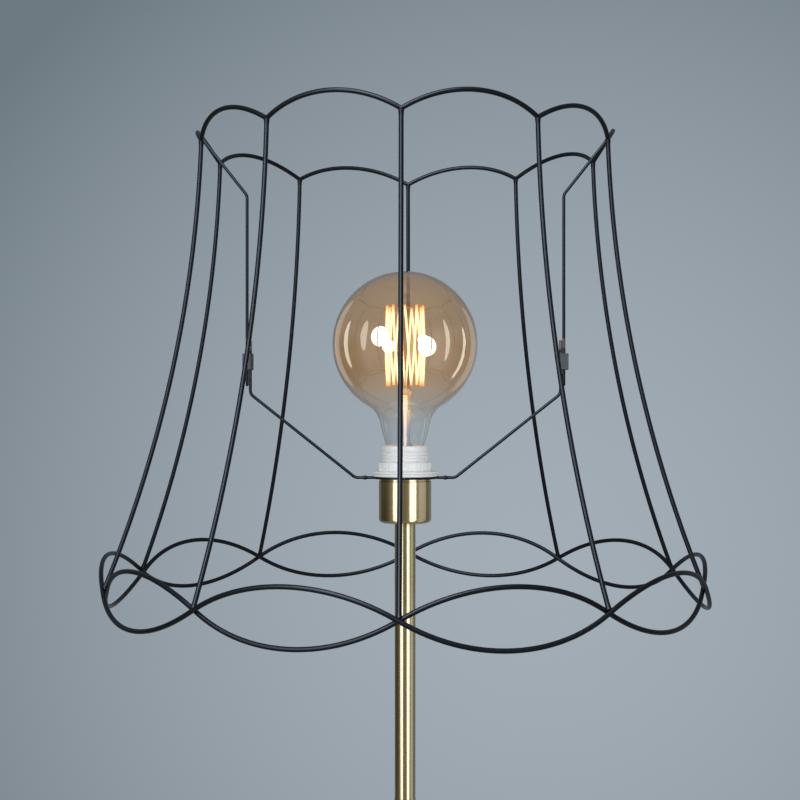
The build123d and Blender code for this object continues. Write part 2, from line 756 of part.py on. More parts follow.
# ---------------------------------------------------------------- the lamp
nodes = {
    "base_cover": make_base_cover(),
    "base_weight": make_base_weight(),
    "base_plate": make_base_plate(),
    "base_pad": make_base_pad(),
    "base_screws": make_base_screws(),
    "foot_nipple": make_hollow_rod(rod_bottom_z, lower_z + rod_reach),
    "foot_washer": collar(foot_washer_diameter / 2, rod_radius + thread_gap, foot_washer_z, pocket_roof_z),
    "foot_nut": hex_nut(nut_flats, rod_radius + fit_gap, foot_nut_z, foot_nut_height),
    "foot_collar": make_foot_collar(),
    "cord_gland": make_cord_gland(),
    "inner_lead": make_inner_lead(),
    "pole_lower": make_tube(lower_z, lower_tube_length) + make_insert(lower_z),
    "coupler_lower": make_coupler(band_lower_z),
    "pole_middle": make_tube(middle_z, middle_tube_length),
    "coupler_upper": make_coupler(band_upper_z),
    "pole_upper": make_tube(upper_z, upper_tube_length) + make_insert(cup_z - insert_length),
    "holder_cup": make_holder_cup(),
    "top_nipple": make_hollow_rod(cup_z - rod_reach, cap_z + holder_cap_neck_height),
    "top_nut": hex_nut(nut_flats, rod_radius + fit_gap, cup_z + cup_wall, top_nut_height),
    "holder_cap": make_holder_cap(),
    "holder_shell": make_holder_shell(),
    "contact_block": make_contact_block(),
    "screw_shell": make_screw_shell(),
    "centre_contact": make_centre_contact(),
    "terminal_screws": make_terminal_screws(),
    "slip_washer": make_slip_washer(),
    "shade_nut": make_shade_nut(),
    "carrier_ring": make_carrier_ring(),
    "top_ring": make_top_ring(),
    "bottom_wave_a": make_bottom_wave(cage_bottom_radius - wave_offset, True),
    "bottom_wave_b": make_bottom_wave(cage_bottom_radius + wave_offset, False),
    "bulb_glass": make_bulb_glass(),
    "bulb_stem": make_bulb_stem(),
    "bulb_filament": make_filament(),
    "filament_hooks": make_filament_hooks(),
    "lead_in_wires": make_lead_in_wires(),
    "bulb_cap": make_bulb_cap(),
    "cap_insulator": make_cap_insulator(),
    "tip_contact": make_tip_contact(),
}

# what there is on both sides of the pole
sides = {
    "carrier_arm": make_carrier_arm(),
    "clamp_sleeve": make_clamp_sleeve(),
    "clamp_spring": make_clamp_spring(),
    "hanger": make_hanger(nodes["top_ring"]),
}
for name, solid in sides.items():
    nodes[name + "_right"] = solid
    nodes[name + "_left"] = mirrored(solid)

# the waved rings cross the other way round at every second rib
front_ribs = [make_front_rib(nodes["top_ring"], inner_rises) for inner_rises in (True, False)]
for k in range(rib_count):
    nodes[f"rib_{k + 1:02d}"] = Rot(0, 0, rib_step * k) * front_ribs[k % 2]

# ---------------------------------------------------------------- STEP files
os.makedirs("parts", exist_ok=True)
for name, solid in nodes.items():
    piece = Compound(children=solid) if isinstance(solid, list) else solid
    export_step(piece, f"parts/{name}.step")
print(f"{len(nodes)} nodes, cup top {cup_top_z:.1f} mm, highest wire {scallop_z + cage_wire_radius:.1f} mm")
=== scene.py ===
"""Finish of the wire cage floor lamp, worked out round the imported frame.

Metres, +Z up, -Y the front. New pieces are grids of points: a round wire carried along a path, or an
outline turned about the pole's axis. Every new piece stands for the nodes that it is made from.
"""
import json
import math

import bpy
import numpy as np
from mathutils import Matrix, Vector


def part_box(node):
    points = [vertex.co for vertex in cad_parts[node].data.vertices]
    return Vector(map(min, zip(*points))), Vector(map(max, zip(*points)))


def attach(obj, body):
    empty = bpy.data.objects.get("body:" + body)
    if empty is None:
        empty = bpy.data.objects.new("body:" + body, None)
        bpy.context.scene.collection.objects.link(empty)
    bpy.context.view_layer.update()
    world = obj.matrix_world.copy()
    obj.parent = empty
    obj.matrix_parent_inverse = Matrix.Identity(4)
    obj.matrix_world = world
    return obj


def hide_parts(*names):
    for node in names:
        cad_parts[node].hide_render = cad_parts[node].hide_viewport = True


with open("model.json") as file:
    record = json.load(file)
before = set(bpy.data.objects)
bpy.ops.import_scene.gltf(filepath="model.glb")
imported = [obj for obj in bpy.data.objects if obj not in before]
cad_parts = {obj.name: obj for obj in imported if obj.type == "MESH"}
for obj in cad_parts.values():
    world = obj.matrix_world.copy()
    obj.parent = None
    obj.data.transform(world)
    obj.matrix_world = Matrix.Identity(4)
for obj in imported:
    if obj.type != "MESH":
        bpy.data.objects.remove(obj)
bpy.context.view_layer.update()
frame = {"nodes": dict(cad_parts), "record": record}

bodies = frame["record"]["behaviour"]["bodies"]
body_of = {node: body for body, nodes in bodies.items() for node in nodes}
mm = 0.001
full_turn = 2 * math.pi


# -------------------------------- sizes read from the frame
def low(node):
    """Lower corner of a node's box."""
    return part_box(node)[0]


def high(node):
    """Upper corner of a node's box."""
    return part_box(node)[1]


def levels(node):
    """Heights of a node's lower and upper end."""
    return low(node).z, high(node).z


cage_wire_radius = high("rib_01").x
rib_count = sum(1 for node in body_of if node.startswith("rib_"))
rib_step = full_turn / rib_count
scallop_radius = high("top_ring").x - cage_wire_radius
scallop_z = high("top_ring").z - cage_wire_radius
inner_wave_radius = -low("bottom_wave_a").y - cage_wire_radius
outer_wave_radius = -low("bottom_wave_b").y - cage_wire_radius
cage_bottom_radius = (inner_wave_radius + outer_wave_radius) / 2
bottom_node_z = sum(levels("bottom_wave_a")) / 2
wave_height = high("bottom_wave_a").z - bottom_node_z - cage_wire_radius

carrier_wire_radius = high("hanger_right").y
ring_radius = high("carrier_ring").x
ring_low, ring_high = levels("carrier_ring")
arm_z = (ring_low + ring_high) / 2
arm_x = high("carrier_arm_right").x - carrier_wire_radius
arm_end_z = high("carrier_arm_right").z
hanger_x = low("hanger_right").x + carrier_wire_radius
hanger_low_z = low("hanger_right").z
sleeve_low = low("clamp_sleeve_right")
sleeve_high = high("clamp_sleeve_right")

globe_radius = high("bulb_glass").x
globe_z = high("bulb_glass").z - globe_radius
neck_end_z = low("bulb_glass").z
rim_z = high("holder_shell").z
thread_radius = high("holder_shell").x
cup_radius = high("holder_cup").x
pole_radius = high("pole_upper").x
foot_radius = high("base_cover").x

# -------------------------------- sizes of the real object: cage and carrier
scallop_lean = 1.1 * mm             # how far the scallops' tops lie outside the ribs' ends
scallop_rise = 15.4 * mm
rib_bow = 16.7 * mm                 # of a rib's middle inside the straight line between its ends
rib_end_trim = 1.8 * mm             # the rib stops this far above the crossing's centre
rib_top_trim = 0.4 * cage_wire_radius
wave_straight = 8.0 * mm            # straight stretch of a waved ring where it crosses the other
arm_flat_reach = 43.0 * mm
arm_upright = 45.0 * mm
arm_bend = 7.0 * mm
arm_inset = 0.6 * mm                # of the arm's end in the ring
bead_at = 34.6 * mm                 # weld bead on each arm beside the ring
bead_width = 1.3 * mm
bead_swell = 0.45                   # of the wire's radius there
hanger_straight = 163.0 * mm
hanger_bend = 8.0 * mm
weld_length = 2.6 * mm              # over which a wire swells towards its weld
weld_swell = 0.22                   # of the wire's radius there
cage_coat = 0.15 * mm               # powder coat on the bare wires
carrier_coat = 0.1 * mm
sleeve_body_top = sleeve_low.z + 14.0 * mm      # over it the sleeve is a narrow tongue
cage_top_radius = scallop_radius - scallop_lean
top_node_z = scallop_z - scallop_rise
rib_waist_radius = (cage_top_radius + cage_bottom_radius) / 2 - rib_bow

# -------------------------------- pole, cup and foot
pole_wall = 1.2 * mm
band_height = 3.0 * mm
band_depth = 1.6 * mm               # from the tube's surface to the band's inner side
rod_hole = 5.1 * mm                 # radius of the hole for the hollow threaded rod
cup_wall = 1.0 * mm
cup_lip = 2.0 * mm                  # height of the step at the cup's mouth
cup_lip_inset = 0.6 * mm            # of the lip's foot inside the cup's surface
cup_lip_lean = 0.1 * mm             # of its mouth outside its foot
foot_rise = 6.0 * mm                # of the cover between its shoulder and the pole
cover_wall = 1.2 * mm
crown_flat = 28.0 * mm              # radius of the flat under the pole
collar_gap = 0.05 * mm
collar_slope = 2.5 * mm

# -------------------------------- lamp holder
thread_bore = thread_radius + 0.3 * mm
thread_pitch = 2.5 * mm
thread_depth = 0.9 * mm
thread_flank = 0.2                  # share of the pitch over which a ridge rises
thread_fade = 0.6 * thread_pitch    # height over which the thread ends
holder_plain_top = 4.0 * mm
holder_plain_radius = 19.4 * mm
holder_step = 0.5 * mm              # height of the cone from the thread's root to there
holder_bore = 16.7 * mm
nut_flange = 2.0 * mm
nut_sleeve_radius = 22.4 * mm
grip_ribs = 36                      # steps from rib to rib round the sleeve
grip_run = 12                       # steps from one plain stretch to the next
grip_plain = 3                      # ribs left out in each plain stretch
grip_half_width = 0.25              # of a rib, as a share of the step
grip_flank = 0.05
grip_rib_height = 0.28 * mm
grip_fade = 0.7 * mm                # distance from the sleeve's surface over which the ribs end

# -------------------------------- bulb
axis_gap = 0.1 * mm                 # radius at which a closed end starts
glass_wall = 0.8 * mm
neck_start_drop = 54.0 * mm         # below the globe's centre, where the globe runs into the neck
neck_radius = 21.2 * mm
neck_drop = 69.0 * mm               # below the globe's centre, where the neck is that wide
neck_low_radius = 16.3 * mm
neck_lip = 2.6 * mm                 # height of the lip at the neck's end
neck_end_radius = 13.4 * mm
stem_low, stem_high = levels("bulb_stem")
button_radius = 5.7 * mm
button_top_radius = 3.5 * mm
button_height = 6.0 * mm
stem_radius = 4.5 * mm
stem_wall = 0.9 * mm
stem_bore = 3.5 * mm
stem_solid = 18.0 * mm              # solid length at the button
flare_radius = 12.5 * mm
flare_wall = 0.8 * mm
flare_height = 4.0 * mm
tube_radius = 1.35 * mm
tube_drop = 5.0 * mm                # of the tube's end below the button's top
filament_radius = 15.5 * mm
filament_top = globe_z + 32.1 * mm
filament_bottom = globe_z - 35.1 * mm
filament_strands = 17
filament_bow = 1.3 * mm             # of a strand's middle outside the straight line
strand_radius = 0.75 * mm
glow_radius = 1.35 * mm


# -------------------------------- grids of points
def unit(vectors):
    """Each vector divided by its length."""
    vectors = np.asarray(vectors, float)
    length = np.linalg.norm(vectors, axis=-1, keepdims=True)
    return vectors / np.maximum(length, 1e-12)


def arc_through(start, middle, end, count):
    """Points of the circular arc through three points, evenly spaced from start to end. The centre is
    where the planes halfway between the points meet in the arc's own plane."""
    a, b, c = (np.array(p, float) for p in (start, middle, end))
    normal = unit(np.cross(b - a, c - a))
    rows = np.array([b - a, c - a, normal])
    halfway = [np.dot(b - a, (a + b) / 2), np.dot(c - a, (a + c) / 2), np.dot(normal, a)]
    centre = np.linalg.solve(rows, halfway)
    x_axis = unit(a - centre)
    y_axis = np.cross(normal, x_axis)
    turn = math.atan2(np.dot(c - centre, y_axis), np.dot(c - centre, x_axis)) % full_turn
    angle = np.linspace(0, turn, count)[:, None]
    return centre + np.linalg.norm(a - centre) * (np.cos(angle) * x_axis + np.sin(angle) * y_axis)


def tangent_arc(start, direction, end, count):
    """Points of the arc in a plane that leaves start in a direction and passes through end. Its radius
    is the square of the chord over twice the chord's share square to the direction."""
    start, end = np.array(start, float), np.array(end, float)
    direction = unit(direction)
    square = np.array([-direction[1], direction[0]])
    chord = end - start
    radius = np.dot(chord, chord) / (2 * np.dot(chord, square))
    turn = 2 * math.atan2(np.dot(chord, square), np.dot(chord, direction))
    angle = np.linspace(0, turn, count)[:, None]
    return start + radius * (np.sin(angle) * direction + (1 - np.cos(angle)) * square)


def rounded(corners, radii, closed=False, steps=6):
    """Polyline whose corners are arcs: each touches its two runs at the radius over the tangent of half
    the corner's angle. A radius of 0 leaves the corner, and an open line keeps its ends."""
    corners = np.array(corners, float)
    count = len(corners)
    pieces = []
    for k in range(count):
        here = corners[k]
        if radii[k] == 0 or (not closed and k in (0, count - 1)):
            pieces.append(here[None])
            continue
        before = unit(corners[k - 1] - here)
        after = unit(corners[(k + 1) % count] - here)
        half = math.acos(np.clip(np.dot(before, after), -1, 1)) / 2
        middle = here + unit(before + after) * radii[k] / math.sin(half)
        outward = unit(here - middle)
        sideways = unit(after - before)
        angle = np.linspace(half - math.pi / 2, math.pi / 2 - half, steps + 1)[:, None]
        pieces.append(middle + radii[k] * (np.cos(angle) * outward + np.sin(angle) * sideways))
    return np.vstack(pieces)


def turned(outline, segments):
    """Outline of (radius, height) turned about the pole's axis: radius times cosine and sine of the
    turn. The outline runs upwards on its outer side."""
    turn = np.linspace(0, full_turn, segments, endpoint=False)
    radius, height = outline[:, :1], outline[:, 1:]
    return np.stack([radius * np.cos(turn), radius * np.sin(turn), height + 0 * turn], axis=-1)


def swept(points, across, radius, sides=14, closed=False):
    """Round wire along a path. A section lies square to the mean direction of its two runs, its cosine
    part towards across, and is stretched by 1 over the cosine of half the bend in the bend's plane, as
    a mitre is."""
    runs = unit(np.diff(points, axis=0, append=points[:1]))
    if closed:
        before, after = np.roll(runs, 1, axis=0), runs
    else:
        before, after = np.vstack([runs[:1], runs[:-1]]), np.vstack([runs[:-1], runs[-2:-1]])
    along = unit(before + after)
    across = np.broadcast_to(across, points.shape)
    first = unit(across - np.sum(across * along, axis=1, keepdims=True) * along)
    second = np.cross(along, first)
    turn = np.linspace(0, full_turn, sides, endpoint=False)[None, :, None]
    section = np.cos(turn) * first[:, None] + np.sin(turn) * second[:, None]
    bend = unit(after - before)[:, None]
    stretch = 1 / np.sum(after * along, axis=1)[:, None, None] - 1
    section = section + bend * np.sum(section * bend, axis=2, keepdims=True) * stretch
    return points[:, None] + section * np.broadcast_to(radius, len(points))[:, None, None]


def round_ends(points, radius, steps=4):
    """Path and radii with half a ball at each end: steps of sine outwards, cosine in radius."""
    nearly_square = math.radians(84)
    radius = np.broadcast_to(radius, len(points)).astype(float)
    angle = np.linspace(nearly_square, 0, steps, endpoint=False)
    outward, ends = np.sin(angle)[:, None], np.cos(angle)
    start = points[0] - unit(points[1] - points[0]) * outward * radius[0]
    end = points[-1] + unit(points[-1] - points[-2]) * outward[::-1] * radius[-1]
    radii = np.concatenate([ends * radius[0], radius, ends[::-1] * radius[-1]])
    return np.vstack([start, points, end]), radii


def grid_faces(rings, sides, loop, first):
    """Quads of a grid whose rings are closed, and those from its last ring to its first in a loop."""
    index = first + np.arange(rings * sides).reshape(rings, sides)
    if loop:
        index = np.vstack([index, index[:1]])
    here, there = index[:-1], index[1:]
    quads = np.stack([here, np.roll(here, -1, axis=1), np.roll(there, -1, axis=1), there], axis=-1)
    return quads.reshape(-1, 4)


def mesh_of(name, grids, loop):
    """Mesh of one or more grids (ring, side, xyz). Where a grid isn't a loop, each end is closed by
    triangles to the mean of its last ring."""
    points, faces, first = [], [], 0
    for grid in grids:
        rings, sides = grid.shape[:2]
        points.append(grid.reshape(-1, 3))
        faces += grid_faces(rings, sides, loop, first).tolist()
        if not loop:
            poles = first + rings * sides
            points.append(np.stack([grid[0].mean(axis=0), grid[-1].mean(axis=0)]))
            side = np.arange(sides)
            after = (side + 1) % sides
            last = first + (rings - 1) * sides
            faces += np.stack([0 * side + poles, first + after, first + side], axis=1).tolist()
            faces += np.stack([0 * side + poles + 1, last + side, last + after], axis=1).tolist()
        first = sum(len(p) for p in points)
    mesh = bpy.data.meshes.new(name)
    mesh.from_pydata(np.vstack(points).tolist(), [], faces)
    mesh.polygons.foreach_set("use_smooth", np.ones(len(mesh.polygons), bool))
    mesh.update()
    return mesh


def placed(name, data):
    """New object of the scene."""
    made = bpy.data.objects.new(name, data)
    bpy.context.scene.collection.objects.link(made)
    return made


def piece(name, grids, material, node, loop=False, sharp=40):
    """New piece that stands for its node and rides on its body."""
    mesh = mesh_of(name, grids if isinstance(grids, list) else [grids], loop)
    mesh.set_sharp_from_angle(angle=math.radians(sharp))
    mesh.materials.append(material)
    made = placed(name, mesh)
    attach(made, body_of[node])
    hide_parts(node)
    return made


def lathe(name, corners, edges, steps, segments, material, node):
    """Closed outline of (radius, height) corners, rounded by edges in mm and turned about the pole's
    axis."""
    outline = rounded(corners, np.array(edges) * mm, closed=True, steps=steps)
    return piece(name, turned(outline, segments), material, node, loop=True)


def band(inner, outer, bottom, top):
    """Corners of a ring's section, from its inner lower one."""
    return [(inner, bottom), (outer, bottom), (outer, top), (inner, top)]


# -------------------------------- shader maths
def linear(red, green, blue):
    """Colour as shaders take it."""
    return (red, green, blue, 1.0)


def srgb(*seen):
    """Colour as it is seen on a screen, 0 to 255, turned into the linear one that shaders take."""
    shares = [channel / 255 for channel in seen]
    return linear(*[c / 12.92 if c <= 0.04045 else ((c + 0.055) / 1.055) ** 2.4 for c in shares])


black = linear(0.0, 0.0, 0.0)


class Socket:
    """Output of a node. An expression on it adds Math nodes."""

    def __init__(self, paint, output):
        self.paint = paint
        self.output = output

    def maths(self, operation, first, second=0.0):
        return self.paint.node("ShaderNodeMath", {"operation": operation}, {0: first, 1: second})

    def __add__(self, other):
        return self.maths("ADD", self, other)

    def __sub__(self, other):
        return self.maths("SUBTRACT", self, other)

    def __rsub__(self, other):
        return self.maths("SUBTRACT", other, self)

    def __mul__(self, other):
        return self.maths("MULTIPLY", self, other)

    def __truediv__(self, other):
        return self.maths("DIVIDE", self, other)

    def __pow__(self, other):
        return self.maths("POWER", self, other)

    __radd__ = __add__
    __rmul__ = __mul__

    def size(self):
        return self.maths("ABSOLUTE", self)

    def larger(self, other):
        return self.maths("MAXIMUM", self, other)

    def turn(self, other):
        """Angle whose tangent is this over the other."""
        return self.maths("ARCTAN2", self, other)

    def clamped(self):
        return self.paint.node("ShaderNodeClamp", {}, {"Value": self})


class Paint:
    """Node tree of a finish, or of the world."""

    def __init__(self, owner):
        owner.use_nodes = True
        self.owner = owner
        self.tree = owner.node_tree
        self.tree.nodes.clear()

    def node(self, kind, settings, sockets, output=0):
        """Adds a node, first with its settings, such as the (position, colour) stops of a ramp, then
        with the values or links of its sockets."""
        made = self.tree.nodes.new(kind)
        for name, value in settings.items():
            if name == "stops":
                elements = made.color_ramp.elements
                while len(elements) < len(value):
                    elements.new(1.0)
                for element, (position, colour) in zip(elements, value):
                    element.position = position
                    element.color = colour
            else:
                setattr(made, name, value)
        for name, value in sockets.items():
            if isinstance(value, Socket):
                self.tree.links.new(value.output, made.inputs[name])
            else:
                made.inputs[name].default_value = value
        return Socket(self, made.outputs[output]) if len(made.outputs) else None

    def place(self):
        return self.node("ShaderNodeTexCoord", {}, {}, "Object")

    def split(self, vector):
        return [self.node("ShaderNodeSeparateXYZ", {}, {0: vector}, k) for k in range(3)]

    def height(self):
        """Height of a point over the floor."""
        return self.split(self.place())[2]

    def noise(self, place, scale, detail, roughness=0.5):
        settings = {"noise_dimensions": "3D"}
        sockets = {"Vector": place, "Scale": scale, "Detail": detail, "Roughness": roughness}
        return self.node("ShaderNodeTexNoise", settings, sockets)

    def step(self, value, start, end):
        """Smooth step from 0 to 1 while a value goes from start to end."""
        sockets = {"Value": value, "From Min": start, "From Max": end}
        return self.node("ShaderNodeMapRange", {"interpolation_type": "SMOOTHSTEP"}, sockets)

    def mix(self, share, first, second):
        """Colour between first and second."""
        return self.node("ShaderNodeMix", {"data_type": "RGBA"}, {0: share, 6: first, 7: second}, 2)

    def bump(self, height, strength, distance):
        sockets = {"Height": height, "Strength": strength, "Distance": distance}
        return self.node("ShaderNodeBump", {}, sockets)

    def surface(self, **sockets):
        """Principled surface; its sockets are written with _ for the blank in their names."""
        sockets = {name.replace("_", " "): value for name, value in sockets.items()}
        return self.node("ShaderNodeBsdfPrincipled", {}, sockets)

    def done(self, shader):
        """Ends the tree with this shader and gives the finish."""
        self.node("ShaderNodeOutputMaterial", {}, {"Surface": shader})
        return self.owner


def finish(name):
    """Paint of a new, empty material."""
    return Paint(bpy.data.materials.new(name))


def level_distance(x, y):
    """Distance from the pole's axis."""
    return (x ** 2 + y ** 2) ** 0.5


# -------------------------------- finishes
def satin_brass():
    """Lacquered brass, turned: fine rings round the axis, which spread a reflection along it."""
    p = finish("satin_brass")
    place = p.place()
    x, y, z = p.split(place)
    ring_place = p.node("ShaderNodeCombineXYZ", {}, {0: level_distance(x, y), 2: z})
    rings = p.noise(ring_place, 2600.0, 3.0, 0.6)
    cloud = p.noise(place, 35.0, 3.0)
    groove_share = p.step(rings, 0.35, 0.75) * 0.25
    colour = p.mix(cloud, srgb(214, 192, 132), srgb(200, 177, 116))
    colour = p.mix(groove_share, colour, srgb(146, 124, 76))
    return p.done(p.surface(
        Base_Color=colour, Metallic=1.0, Roughness=0.21 + 0.03 * rings, Anisotropic=0.8,
        Anisotropic_Rotation=0.25, Coat_Weight=0.8, Coat_Roughness=0.07, Coat_IOR=1.5,
        Normal=p.bump(rings, 0.005, 0.1 * mm)))


def black_coat():
    """Satin black powder coat: a fine orange peel and a few duller patches."""
    p = finish("black_coat")
    place = p.place()
    peel = p.noise(place, 900.0, 2.0)
    patch = p.noise(place, 45.0, 3.0)
    return p.done(p.surface(
        Base_Color=p.mix(patch, srgb(4, 5, 8), srgb(10, 11, 14)), Roughness=0.3 + 0.1 * patch,
        IOR=1.36, Normal=p.bump(peel, 0.03, 0.1 * mm)))


def worn_coat():
    """The same coat, with a painted brown reflection of the bulb's light just over the top of its clamp.
    """
    p = finish("worn_coat")
    place = p.place()
    height = p.split(place)[2]
    patch = p.noise(place, 250.0, 3.0)
    top = sleeve_high.z
    # Painted reflection: a brown band of the bulb's light on the wire, from just under the clamp's top
    # to about 9 mm over it.
    reflection_start, reflection_end, reflection_fade, waver = 2.0 * mm, 9.0 * mm, 2.5 * mm, 4.0 * mm
    over_clamp = p.step(height, top - reflection_start, top)
    below_end = p.step(height + patch * waver, top + reflection_end + reflection_fade, top + reflection_end)
    coat_colour = p.mix(patch, srgb(5, 6, 9), srgb(13, 14, 17))
    painted_reflection_colour = p.mix(patch, srgb(86, 70, 63), srgb(66, 56, 52))
    return p.done(p.surface(
        Base_Color=p.mix(over_clamp * below_end, coat_colour, painted_reflection_colour), Roughness=0.3 + 0.1 * patch,
        IOR=1.36))


def folded_sheet():
    """Sheet steel of the clamps: its inner fold is painted black as shade, its face is grey with wear.
    """
    p = finish("folded_sheet")
    place = p.place()
    x, y, z = p.split(place)
    wear = p.noise(place, 500.0, 3.0)
    # Painted shade: a strip of the face along the inner fold is painted black, for the shade that falls
    # there.
    beside_fold = p.step(x.size(), sleeve_low.x + 1.6 * mm, sleeve_low.x + 2.3 * mm)
    in_front = p.step(y, 0.0, -1.0 * mm)
    over_edge = p.step(z, sleeve_low.z + 0.3 * mm, sleeve_low.z + 1.0 * mm)
    under_tongue = p.step(z, sleeve_body_top + 0.2 * mm, sleeve_body_top - 0.4 * mm)
    face = beside_fold * in_front * over_edge * under_tongue
    grey = p.mix(wear, srgb(70, 79, 87), srgb(58, 66, 73))
    return p.done(p.surface(
        Base_Color=p.mix(face, srgb(12, 12, 14), grey), Roughness=0.36 + 0.2 * wear,
        Normal=p.bump(wear, 0.1, 0.2 * mm)))


def white_moulding():
    """White moulded plastic, slightly translucent, with faint flow marks; its mouth has a painted orange
    glow that stands in for the filament's light."""
    p = finish("white_moulding")
    place = p.place()
    x, y, z = p.split(place)
    flow = p.noise(place, 60.0, 2.0)
    grain = p.noise(place, 2500.0, 2.0)
    # Painted glow: orange emission on the mouth's inner side, near the bore and the rim.
    near_bore = p.step(level_distance(x, y), holder_bore + 1.6 * mm, holder_bore + 0.2 * mm)
    near_rim = p.step(z, rim_z - 9.0 * mm, rim_z - 1.0 * mm)
    return p.done(p.surface(
        Base_Color=p.mix(flow, srgb(238, 238, 236), srgb(229, 230, 229)),
        Roughness=0.33 + 0.08 * grain, Subsurface_Weight=0.25,
        Subsurface_Radius=(4.0 * mm, 3.0 * mm, 2.0 * mm), Subsurface_Scale=1.0,
        Emission_Color=p.mix(near_bore * near_rim, black, linear(0.9, 0.38, 0.1)),
        Emission_Strength=0.8, Normal=p.bump(grain, 0.08, 0.1 * mm)))


def amber_glass():
    """Glass with a gold lustre, half a mirror, that ends where the globe runs into the neck."""
    p = finish("amber_glass")
    place = p.place()
    drift = p.noise(place, 40.0, 2.0)
    wavering = p.split(place)[2] + (drift - 0.5) * (12.0 * mm)
    lustre = p.step(wavering, globe_z - 74.0 * mm, globe_z - 22.0 * mm)
    # Painted glow: a faint orange emission where the lustre is, for the filament's light in the glass.
    return p.done(p.surface(
        Base_Color=p.mix(lustre, srgb(252, 253, 253), srgb(251, 229, 198)), Roughness=0.0,
        Transmission_Weight=1.0, IOR=1.45, Coat_Weight=0.15 + 0.85 * lustre, Coat_Roughness=0.0,
        Coat_IOR=2.2, Emission_Color=p.mix(lustre, black, linear(0.5, 0.24, 0.1)),
        Emission_Strength=0.05))


def clear_glass():
    """Glass of the stem, with a painted glow, dim at its foot and orange near the filament."""
    p = finish("clear_glass")
    seeds = p.noise(p.place(), 300.0, 2.0)
    warm = p.step(p.height(), globe_z - 78.0 * mm, globe_z - 45.0 * mm)
    return p.done(p.surface(
        Base_Color=p.mix(seeds, srgb(250, 252, 252), srgb(242, 246, 246)), Roughness=0.02,
        Transmission_Weight=1.0, IOR=1.5, Coat_Weight=1.0, Coat_IOR=2.0,
        Emission_Color=p.mix(warm, linear(0.1, 0.08, 0.07), linear(1.0, 0.5, 0.2)),
        Emission_Strength=0.3))


def lit_glass():
    """Thin tube in the stem, with a painted white glow that turns warmer near the filament."""
    p = finish("lit_glass")
    streak = p.noise(p.place(), 220.0, 2.0)
    warm = p.step(p.height(), globe_z - 60.0 * mm, globe_z - 45.0 * mm)
    white = p.mix(streak, linear(0.95, 0.9, 0.86), linear(0.75, 0.7, 0.68))
    return p.done(p.surface(
        Base_Color=srgb(240, 240, 240), Roughness=0.2, Emission_Strength=1.0,
        Emission_Color=p.mix(warm, white, linear(1.0, 0.72, 0.45))))


def hot_wire():
    """White-hot filament, dimmer and more orange close to its hooks."""
    p = finish("hot_wire")
    middle = (filament_top + filament_bottom) / 2
    reach = (filament_top - filament_bottom) / 2
    off_middle = ((p.height() - middle) / reach) ** 2
    near_hooks = (off_middle ** 5).clamped()
    return p.done(p.surface(
        Base_Color=srgb(255, 200, 120), Roughness=0.5, Emission_Strength=5.0,
        Emission_Color=p.mix(near_hooks, linear(1.0, 0.86, 0.58), linear(0.26, 0.1, 0.02))))


def hot_glow():
    """Orange light that hangs close round the filament."""
    p = finish("hot_glow")
    upper = p.step(p.height(), filament_bottom, filament_top)
    return p.done(p.surface(
        Base_Color=black, Roughness=1.0, Specular_IOR_Level=0.0, Alpha=0.38, Emission_Strength=1.4,
        Emission_Color=p.mix(upper, linear(1.0, 0.46, 0.1), linear(1.0, 0.52, 0.14))))


def support_with_painted_glow():
    """Copper wire near the filament, with a painted orange glow that grows the nearer it is."""
    p = finish("support_wire")
    grain = p.noise(p.place(), 500.0, 2.0)
    near = p.step(p.height(), filament_bottom - 30.0 * mm, filament_bottom)
    return p.done(p.surface(
        Base_Color=p.mix(grain, srgb(150, 118, 84), srgb(120, 88, 58)), Metallic=1.0,
        Roughness=0.3 + 0.2 * grain, Emission_Strength=0.5,
        Emission_Color=p.mix(near, linear(0.5, 0.24, 0.1), linear(0.9, 0.36, 0.08))))


def plain(name, light, dark, roughness, metallic=1.0, scale=400.0):
    """Drawn, plated, cast or moulded: noise between two colours, and in the gloss."""
    p = finish(name)
    grain = p.noise(p.place(), scale, 3.0)
    return p.done(p.surface(
        Base_Color=p.mix(grain, srgb(*light), srgb(*dark)), Metallic=metallic,
        Roughness=roughness + 0.15 * grain, Normal=p.bump(grain, 0.15, 0.2 * mm)))


brass = satin_brass()
coat = black_coat()
moulding = white_moulding()
tinted = amber_glass()
clear = clear_glass()
lit_tube = lit_glass()
glowing = hot_wire()
halo = hot_glow()
fold = folded_sheet()
painted_reflection_coat = worn_coat()
rubber = plain("black_rubber", (48, 48, 48), (36, 36, 37), 0.65, 0.0, 900.0)

slot_finish = {
    "brass": brass,
    "cast_iron": plain("cast_iron", (92, 92, 94), (66, 66, 68), 0.6, 0.6, 700.0),
    "zinc_steel": plain("zinc_plate", (205, 207, 208), (176, 178, 180), 0.3),
    "foot_rubber": rubber,
    "gland_rubber": rubber,
    "lead_sheath": plain("lead_sheath", (60, 60, 61), (48, 48, 49), 0.4, 0.0, 300.0),
    "white_plastic": moulding,
    "ceramic": plain("glazed_ceramic", (236, 233, 224), (226, 222, 212), 0.2, 0.0, 200.0),
    "contact_metal": plain("nickel_plate", (214, 208, 190), (196, 190, 172), 0.22),
    "black_wire": coat,
    "spring_steel": plain("blued_spring", (84, 86, 92), (62, 64, 70), 0.35),
    "amber_glass": tinted,
    "clear_glass": clear,
    "support_wire": support_with_painted_glow(),
    "filament": glowing,
    "dark_insulator": plain("dark_glaze", (52, 52, 56), (38, 38, 42), 0.25, 0.0, 200.0),
}


# -------------------------------- cage
def polar(radius, turn, height):
    """Point at a turn from the front towards +X."""
    return np.array([radius * math.sin(turn), -radius * math.cos(turn), height])


def outwards(points):
    """Direction from the pole's axis to each point, level."""
    return unit(points * [1, 1, 0])


